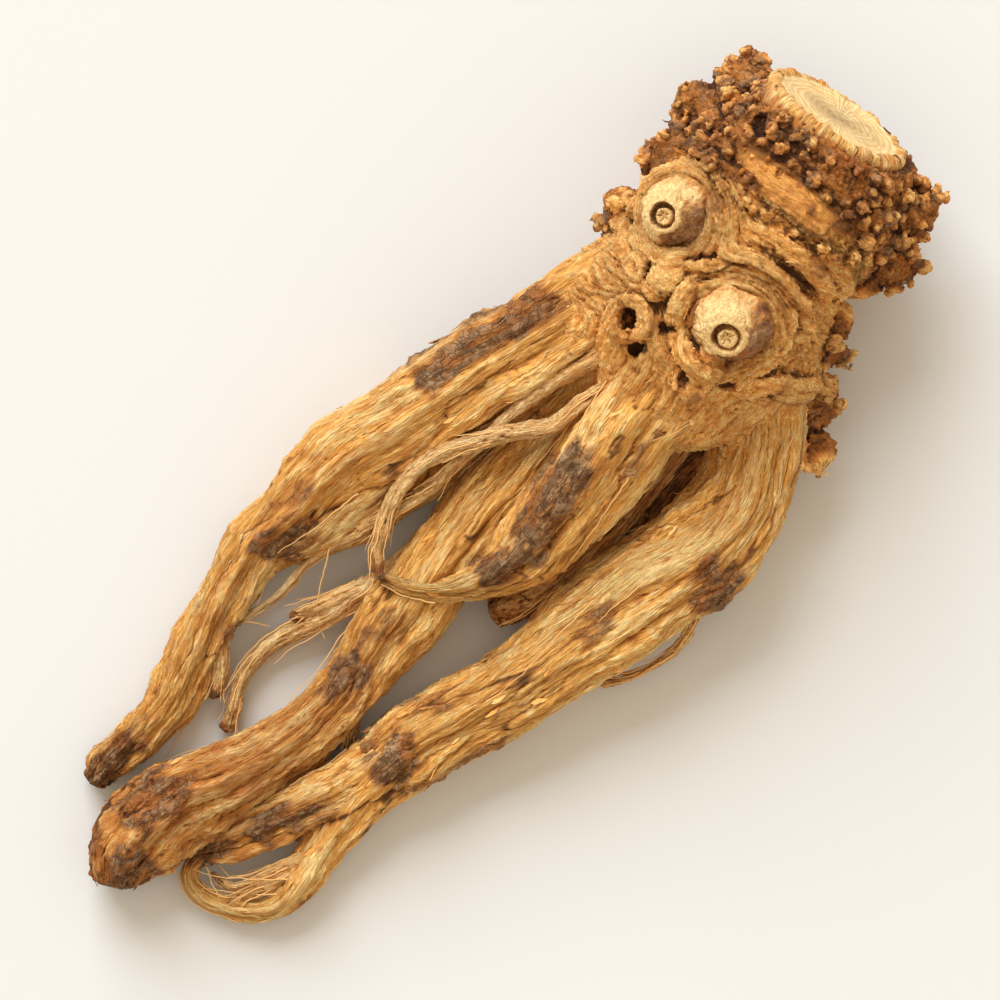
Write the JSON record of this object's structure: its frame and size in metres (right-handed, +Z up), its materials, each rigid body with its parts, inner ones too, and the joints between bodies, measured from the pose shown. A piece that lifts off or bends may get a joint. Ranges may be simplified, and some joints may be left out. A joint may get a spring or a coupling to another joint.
{
  "type": "dried medicinal root",
  "caption": "Dried angelica root lying down: knobbly warted crown with a cut stem stub and cone scars, and stout wrinkled tapering roots with thin rootlets between them",
  "frame": {"origin": "centre of the bounding box's base, on the surface that the root lies on", "axes": "+X runs along the root's length from the root tips to the cut stem, +Y across it, +Z up from the surface"},
  "size_m": [0.1387, 0.0519, 0.031],
  "materials": {
    "root_bark": "dry, matte, fibrous golden-tan bark with deep lengthwise wrinkles and grey-brown patches",
    "cut_face": "dry, matte, pale cream cut wood with faint growth rings"
  },
  "bodies": {
    "root": {"angelica_root": "root_bark"}
  },
  "joints": []
}
